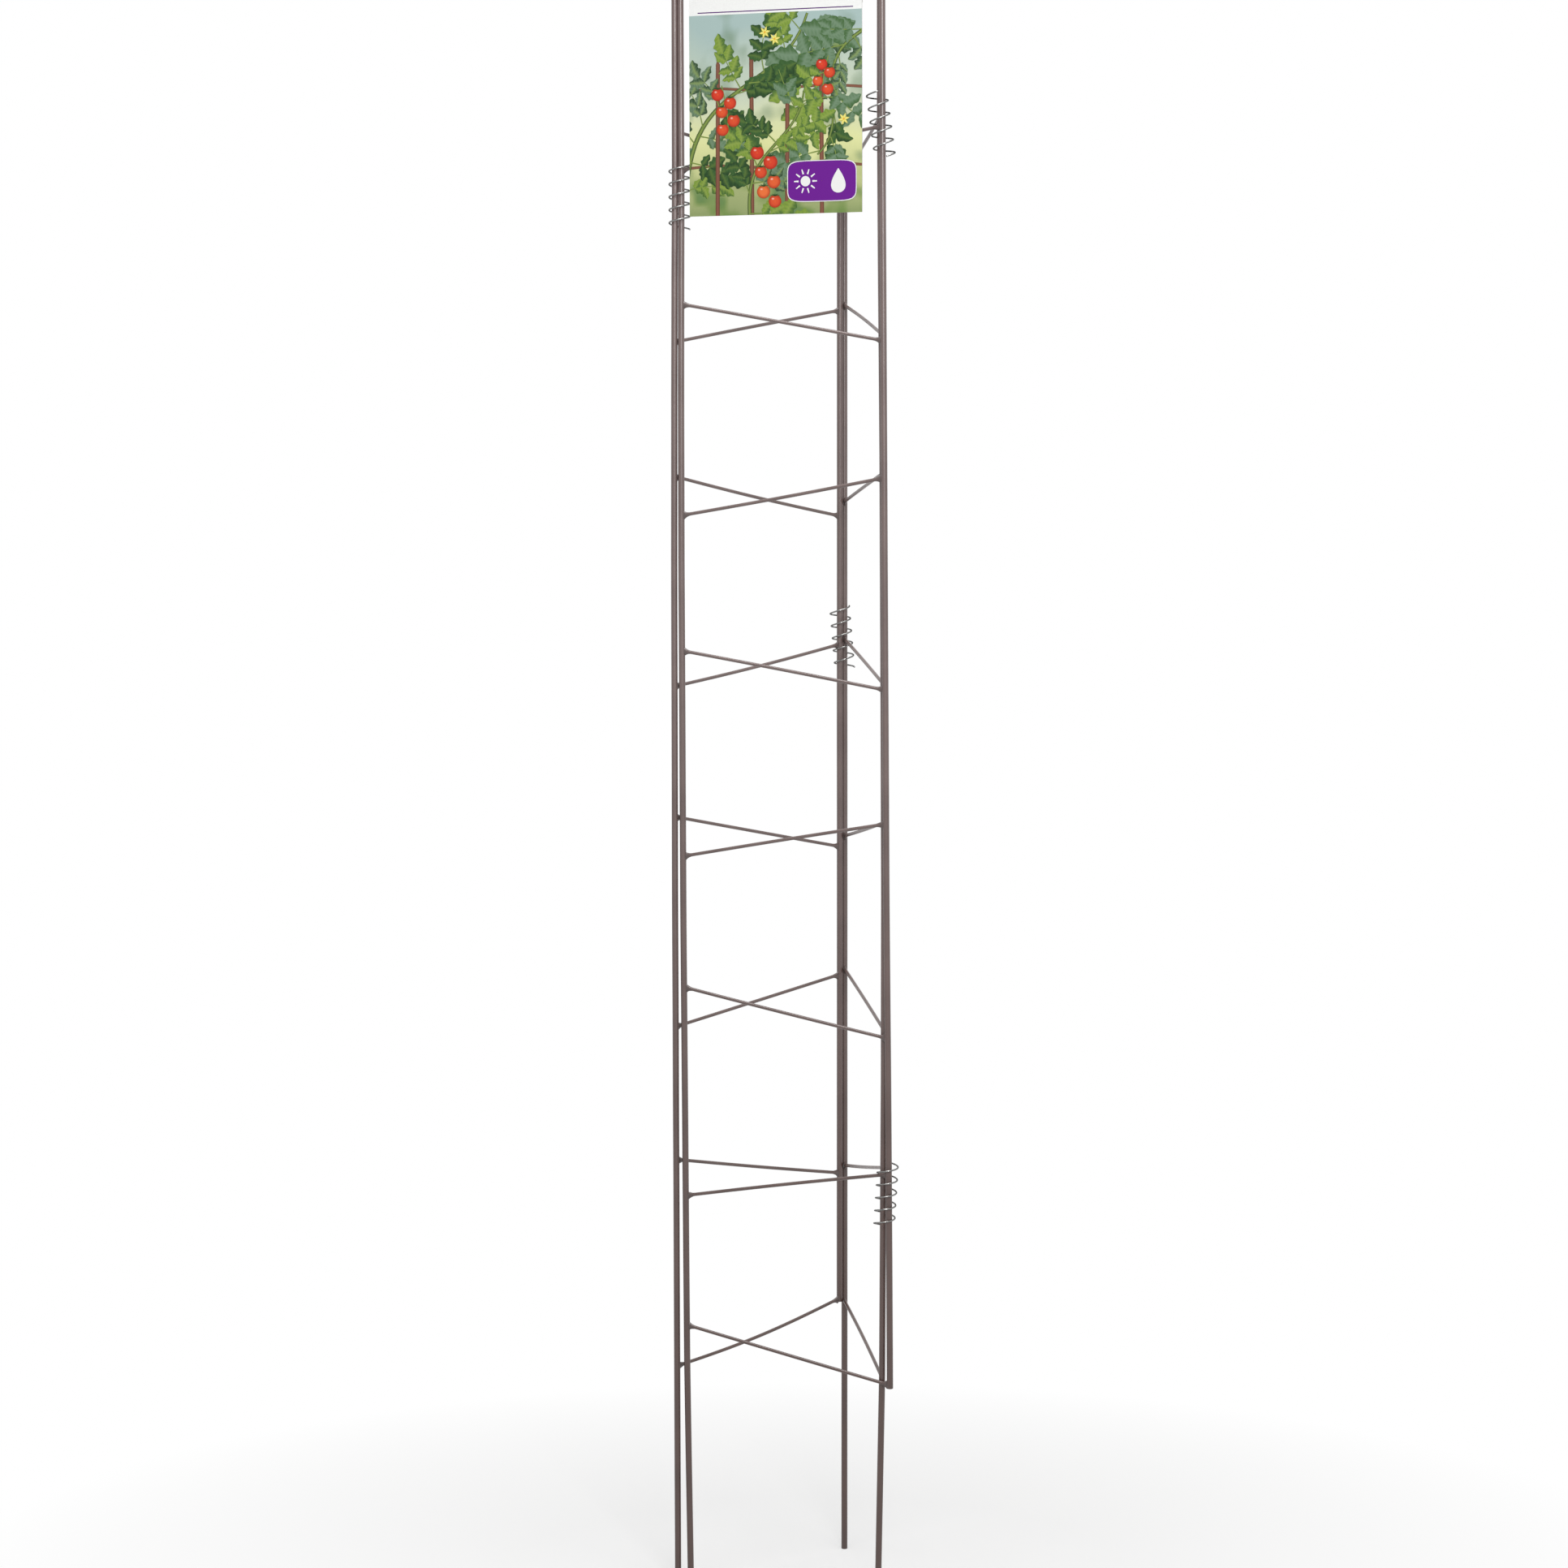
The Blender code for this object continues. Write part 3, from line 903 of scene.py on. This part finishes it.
leafLook = {
    "tones": [("deep", "green", "stem"), ("green", "sage", "sage"), ("deep", "sage", "stemPale"),
              ("green", "lime", "stemPale")],    # the dark side, the light side and the rib
    "steps": 12,
    "lobes": (2.2, 3.2),
    "bend": 0.5,
    "broad": (0.50, 0.72),   # of the leaf's length
    "thin": 0.02,            # the least width at its ends, of the most
    "ripple": 0.22,
    "veins": 6,
}


# One leaf with a lobed rim, darker on one side of its rib.
def printLeaf(sheet, x, z, angle, length, layer, tone, chance):
    look = leafLook
    dark, light, rib = (inks[name] for name in look["tones"][tone])
    lobes = chance.uniform(*look["lobes"])
    bend = chance.uniform(-look["bend"], look["bend"])
    broad = chance.uniform(*look["broad"])
    rows = []
    for step in range(look["steps"] + 1):
        share = step / look["steps"]
        turn = angle + bend * share
        px, pz = x + math.cos(turn) * length * share, z + math.sin(turn) * length * share
        across, over = -math.sin(turn), math.cos(turn)
        half = length * broad / 2 * max(look["thin"], math.sin(math.pi * share ** 0.72)) ** 0.7
        ripple = look["ripple"] * math.sin(2 * math.pi * lobes * share)
        upper, lower = half * (1 + ripple), half * (1 - ripple)
        vein = 0.5 + 0.5 * math.cos(2 * math.pi * share * look["veins"])
        rows.append([
            (px + across * upper, pz + over * upper, blend(dark, light, 0.75)),
            (px + across * upper * 0.5, pz + over * upper * 0.5, blend(dark, light, 0.60 + 0.35 * vein)),
            (px, pz, blend(light, rib, 0.6)),
            (px - across * lower * 0.5, pz - over * lower * 0.5, blend(dark, light, 0.15 + 0.30 * vein)),
            (px - across * lower, pz - over * lower, blend(dark, light, 0.10)),
        ])
    inkStrip(sheet, rows, layer)


sprayLook = {
    "counts": (17, 11, 9),   # on each branch
    "length": (0.030, 0.044),
    "spread": (0.6, 1.3),    # radians off the branch
    "curve": 0.7,
    "steps": 10,
    "stalk": 0.0011,
    "stalkTaper": 0.00005,   # a step
    "leaves": ((3, 0.34), (5, 0.40), (8, 0.44)),     # step along the stalk, and share of its length
    "leafSpread": (0.65, 1.05),
    "leafUneven": (0.85, 1.15),
    "tipLeaf": 0.52,
}


# A spray: a curved stalk with leaves on both sides and one at its tip.
def printSpray(sheet, x, z, angle, length, nextLayer, tone, chance):
    look = sprayLook
    steps = look["steps"]
    curve = chance.uniform(-look["curve"], look["curve"])
    points, turns = [(x, z)], [angle]
    for step in range(steps):
        turns.append(angle + curve * (step + 1) / steps)
        px, pz = points[-1]
        points.append((px + math.cos(turns[-1]) * length / steps,
                       pz + math.sin(turns[-1]) * length / steps))
    widths = [look["stalk"] - look["stalkTaper"] * step for step in range(steps + 1)]
    inkRibbon(sheet, points, widths, nextLayer(), inks["stem"], inks["stemPale"])
    for place, size in look["leaves"]:
        for way in (-1, 1):
            turn = turns[place] + way * chance.uniform(*look["leafSpread"])
            printLeaf(sheet, *points[place], turn, length * size * chance.uniform(*look["leafUneven"]),
                      nextLayer(), tone, chance)
    printLeaf(sheet, *points[-1], turns[-1], length * look["tipLeaf"], nextLayer(), tone, chance)


# Sizes are shares of the fruit's radius.
fruitLook = {
    "squash": 0.95,
    "shinePlace": (-0.3, 0.36),
    "shineSize": 0.26,
    "shineSquash": 0.7,
    "crown": 0.80,           # how high over the middle the green tips start
    "tips": (0.2, 0.9, 1.57, 2.2, 2.9),  # their directions
    "tipReach": (0.75, 0.32),
    "tipWidths": (0.2, 0.04),
}


# ripe runs from 0, green, over 0.5, orange, to 1, red.
def printFruit(sheet, x, z, radius, ripe, layer):
    look = fruitLook
    if ripe < 0.5:
        body = blend(inks["unripe"], inks["orange"], ripe * 2)
    else:
        body = blend(inks["orange"], inks["red"], ripe * 2 - 1)
    rim = blend(body, inks["redRim"] if ripe > 0.4 else inks["green"], 0.7)
    glow = blend(body, inks["orange"], 0.35)
    inkBlob(sheet, x, z, roundReach(radius, look["squash"]), layer,
            [glow, body, body, blend(body, rim, 0.45), rim])
    across, over = look["shinePlace"]
    inkBlob(sheet, x + radius * across, z + radius * over,
            roundReach(radius * look["shineSize"], look["shineSquash"]), layer + 1,
            [blend(glow, inks["white"], 0.6), glow], 12)
    crown = (x, z + radius * look["crown"])
    across, over = look["tipReach"]
    for turn in look["tips"]:
        tip = (crown[0] + math.cos(turn) * radius * across, crown[1] + math.sin(turn) * radius * over)
        inkRibbon(sheet, [crown, tip], [radius * width for width in look["tipWidths"]], layer + 2,
                  inks["deep"], inks["green"])


clusterLook = {
    "drop": 1.35,            # from fruit to fruit, in radii
    "stalk": 0.0010,
    "unripe": 0.7,           # how far from red the last fruit can be
    "side": (0.75, 1.0),     # off the stalk, in radii
    "uneven": (0.88, 1.08),
}
clusters = [
    {"x": 0.030, "z": -0.096, "sway": 0.006, "count": 5, "radius": 0.0056},
    {"x": 0.128, "z": -0.074, "sway": -0.005, "count": 4, "radius": 0.0052},
    {"x": 0.066, "z": -0.146, "sway": 0.008, "count": 6, "radius": 0.0062},
]


def printCluster(sheet, x, z, sway, count, radius, chance):
    look = clusterLook
    layer = printLayers["fruit"]
    points = [(x + sway * math.sin(1.6 * step / count), z - step * radius * look["drop"])
              for step in range(count + 1)]
    inkRibbon(sheet, points, [look["stalk"]] * (count + 1), layer, inks["stem"], inks["stemPale"])
    for index in range(count):
        way = 1 if index % 2 else -1
        px, pz = points[index + 1]
        ripe = 1.0 - look["unripe"] * (index / count) * chance.uniform(0.2, 1.0)
        printFruit(sheet, px + way * radius * chance.uniform(*look["side"]), pz,
                   radius * chance.uniform(*look["uneven"]), ripe, layer + 2 + 5 * (index % 2))


blossomLook = {"places": ((0.070, -0.052), (0.079, -0.058), (0.142, -0.128)), "size": 0.0052,
               "petals": 6, "turned": 0.2}


def printBlossom(sheet, x, z):
    look = blossomLook
    size = look["size"]
    layer = printLayers["blossoms"]
    for angle in ringAngles(look["petals"]):
        turn = angle + look["turned"]
        tip = (x + math.cos(turn) * size, z + math.sin(turn) * size)
        middle = ((x + tip[0]) / 2, (z + tip[1]) / 2)
        inkRibbon(sheet, [(x, z), middle, tip], [size * 0.2, size * 0.42, size * 0.04], layer,
                  inks["petal"], blend(inks["petal"], inks["white"], 0.3))
    inkBlob(sheet, x, z, roundReach(size * 0.22), layer + 1, [inks["orange"], inks["petal"]], 10)


badgeLook = {
    "x": 0.122,
    "z": -0.180,
    "width": 0.062,
    "height": 0.034,
    "rim": 0.0014,
    "side": 0.0150,          # of each sign, from the badge's middle
    "icon": 0.0105,          # the signs' radius
    "rays": 10,
}


# A sun and a drop of water on a rounded field.
def printBadge(sheet):
    look = badgeLook
    layer = printLayers["badge"]
    white = inks["white"]
    for grow, color in ((look["rim"], white), (0.0, inks["badge"])):
        inkBlob(sheet, look["x"], look["z"], boxReach(look["width"] + grow, look["height"] + grow),
                layer, [color] * 9, 64)
        layer += 2
    sun = (look["x"] - look["side"], look["z"])
    inkBlob(sheet, *sun, roundReach(look["icon"] * 0.42), layer, [white] * 3)
    for turn in ringAngles(look["rays"]):
        ends = [(sun[0] + math.cos(turn) * look["icon"] * part,
                 sun[1] + math.sin(turn) * look["icon"] * part) for part in (0.60, 1.0)]
        inkRibbon(sheet, ends, [look["icon"] * 0.15, look["icon"] * 0.09], layer, white, white)

    def dropReach(angle):
        narrow = 0.5 * (1 - math.sin(angle))
        return (look["icon"] * 0.85 * math.cos(angle) * narrow ** 0.6, look["icon"] * math.sin(angle))
    inkBlob(sheet, look["x"] + look["side"], look["z"], dropReach, layer, [white] * 4, 40)


headerLook = {"rule": 0.0009, "gap": 0.0022, "margin": 0.008}


def printHeaderRule(sheet):
    look = headerLook
    z = printLook["top"] + look["gap"]
    ends = [(look["margin"], z), (cardShape["width"] - look["margin"], z)]
    inkRibbon(sheet, ends, [look["rule"]] * 2, printLayers["headerRule"], inks["badge"], inks["badge"])


# The branches that carry the sprays, in the order of sprayLook's counts.
branches = [
    {"from": (-0.004, -0.186), "to": (0.098, -0.030), "swing": 0.016, "width": 0.0046},
    {"from": (0.166, -0.050), "to": (0.108, -0.152), "swing": -0.014, "width": 0.0034},
    {"from": (0.056, -0.212), "to": (0.098, -0.100), "swing": 0.010, "width": 0.0036},
]
branchSteps = 24


def printBranch(sheet, branch, count, nextLayer, chance):
    steps = branchSteps
    (x0, z0), (x1, z1) = branch["from"], branch["to"]
    length = math.hypot(x1 - x0, z1 - z0)
    across, over = -(z1 - z0) / length, (x1 - x0) / length
    points = []
    for step in range(steps + 1):
        share = step / steps
        swing = branch["swing"] * math.sin(share * math.pi * 1.7)
        points.append((x0 + (x1 - x0) * share + across * swing, z0 + (z1 - z0) * share + over * swing))
    inkRibbon(sheet, points, [branch["width"] * (1 - 0.5 * step / steps) for step in range(steps + 1)],
              nextLayer(), inks["deep"], inks["stemPale"])
    heading = math.atan2(z1 - z0, x1 - x0)
    for order in range(count):
        place = int((order + 0.6) / count * steps)
        way = 1 if order % 2 else -1
        turn = heading + way * chance.uniform(*sprayLook["spread"])
        printSpray(sheet, *points[place], turn, chance.uniform(*sprayLook["length"]), nextLayer,
                   chance.randrange(len(leafLook["tones"])), chance)


# Nothing of the picture passes the card's edges or runs into the header.
def trimPicture(sheet):
    look = printLook
    edges = [((0, 0, look["foot"]), (0, 0, -1)), ((0, 0, look["top"]), (0, 0, 1)),
             ((0, 0, 0), (-1, 0, 0)), ((cardShape["width"], 0, 0), (1, 0, 0))]
    for place, normal in edges:
        bmesh.ops.bisect_plane(sheet, geom=[*sheet.verts, *sheet.edges, *sheet.faces], dist=1e-6,
                               plane_co=place, plane_no=normal, clear_outer=True)


def addPrint():
    chance = random.Random(31)
    sheet = bmesh.new()
    sheet.verts.layers.float_color.new("ink")
    printGround(sheet)
    printFence(sheet)
    turn = itertools.cycle(range(printLook["leafLayers"]))
    for branch, count in zip(branches, sprayLook["counts"]):
        printBranch(sheet, branch, count, lambda: printLayers["leaves"] + next(turn), chance)
    for cluster in clusters:
        printCluster(sheet, **cluster, chance=chance)
    for place in blossomLook["places"]:
        printBlossom(sheet, *place)
    printBadge(sheet)
    trimPicture(sheet)
    printHeaderRule(sheet)
    for vertex in sheet.verts:
        vertex.co = cardSurface(vertex.co.x, vertex.co.y - cardOutside, vertex.co.z)
    bmesh.ops.solidify(sheet, geom=list(sheet.faces),
                       thickness=-printLook["thick"] * printLook["layer"])
    addPiece("hang_card_print", sheet, [cardInk], "hang_card", "hang_card")


addPrint()
print("print made")


# stage and light

# The camera and reflections see the floor fade to plain white away from the tower. Light that
# falls on it meets the matte floor everywhere.
floorLook = {
    "radius": 14.0,
    "sides": 96,
    "color": (0.93, 0.93, 0.925),
    "nearRadius": 0.28,
    "nearShare": 0.45,       # of plain white, within that radius
    "farRadius": 0.80,       # all white from here
}
worldLook = {"background": 1.0, "light": 0.19}
lampLook = {
    "keyPanel": {"azimuth": 297.0, "distance": 2.0, "height": 1.70, "aim": 1.70,
                 "size": (0.45, 0.90), "power": 25},
    "topPanel": {"azimuth": 290.0, "distance": 0.6, "height": 3.4, "aim": 0.75,
                 "size": (1.8, 1.8), "power": 72},
}


# 1 for rays that see the white, 0 for those that carry light.
def seeingRays(tree, *kinds):
    ray = addNode(tree, "ShaderNodeLightPath").outputs
    seen = ray["Is Camera Ray"]
    for kind in kinds:
        seen = addNode(tree, "ShaderNodeMath", {0: seen, 1: ray[kind]}, operation="MAXIMUM").outputs[0]
    return seen


def addFloor():
    look = floorLook
    material, tree = newMaterial("paleFloor")[:2]
    tree.nodes.clear()
    coords = objectCoords(tree)
    away = addNode(tree, "ShaderNodeVectorMath", {0: coords}, operation="LENGTH").outputs["Value"]
    share = rangeOf(tree, away, look["nearRadius"], look["farRadius"], look["nearShare"], 1.0)
    matte = addNode(tree, "ShaderNodeBsdfDiffuse", {"Color": (*look["color"], 1)}).outputs[0]
    bright = addNode(tree, "ShaderNodeEmission", {"Color": (1, 1, 1, 1), "Strength": 1.0}).outputs[0]
    seen = seeingRays(tree, "Is Glossy Ray")
    factor = addNode(tree, "ShaderNodeMath", {0: seen, 1: share}, operation="MULTIPLY").outputs[0]
    mixed = addNode(tree, "ShaderNodeMixShader", {0: factor, 1: matte, 2: bright}).outputs[0]
    addNode(tree, "ShaderNodeOutputMaterial", {"Surface": mixed})
    solid = bmesh.new()
    bmesh.ops.create_circle(solid, cap_ends=True, radius=look["radius"], segments=look["sides"])
    mesh = bpy.data.meshes.new("floor")
    solid.to_mesh(mesh)
    solid.free()
    mesh.materials.append(material)
    addObject("floor", mesh)


def addWorld():
    world = bpy.data.worlds.new("paleStudio")
    bpy.context.scene.world = world
    world.use_nodes = True
    tree = world.node_tree
    tree.nodes.clear()
    seen = seeingRays(tree, "Is Glossy Ray", "Is Transmission Ray")
    strength = rangeOf(tree, seen, 0.0, 1.0, worldLook["light"], worldLook["background"])
    glow = addNode(tree, "ShaderNodeBackground", {"Color": (1, 1, 1, 1), "Strength": strength})
    addNode(tree, "ShaderNodeOutputWorld", {"Surface": glow.outputs[0]})


def addLamp(name, look):
    lamp = bpy.data.lights.new(name, "AREA")
    lamp.shape = "RECTANGLE"
    lamp.size, lamp.size_y = look["size"]
    lamp.energy = look["power"]
    seat = addObject(name, lamp)
    azimuth = math.radians(look["azimuth"])
    seat.location = flat(azimuth) * look["distance"] + upward * look["height"]
    aim = upward * look["aim"] - seat.location
    seat.rotation_euler = aim.to_track_quat("-Z", "Y").to_euler()


addFloor()
addWorld()
for name, look in lampLook.items():
    addLamp(name, look)
bpy.context.scene.view_settings.view_transform = "Standard"
print("stage and light set")
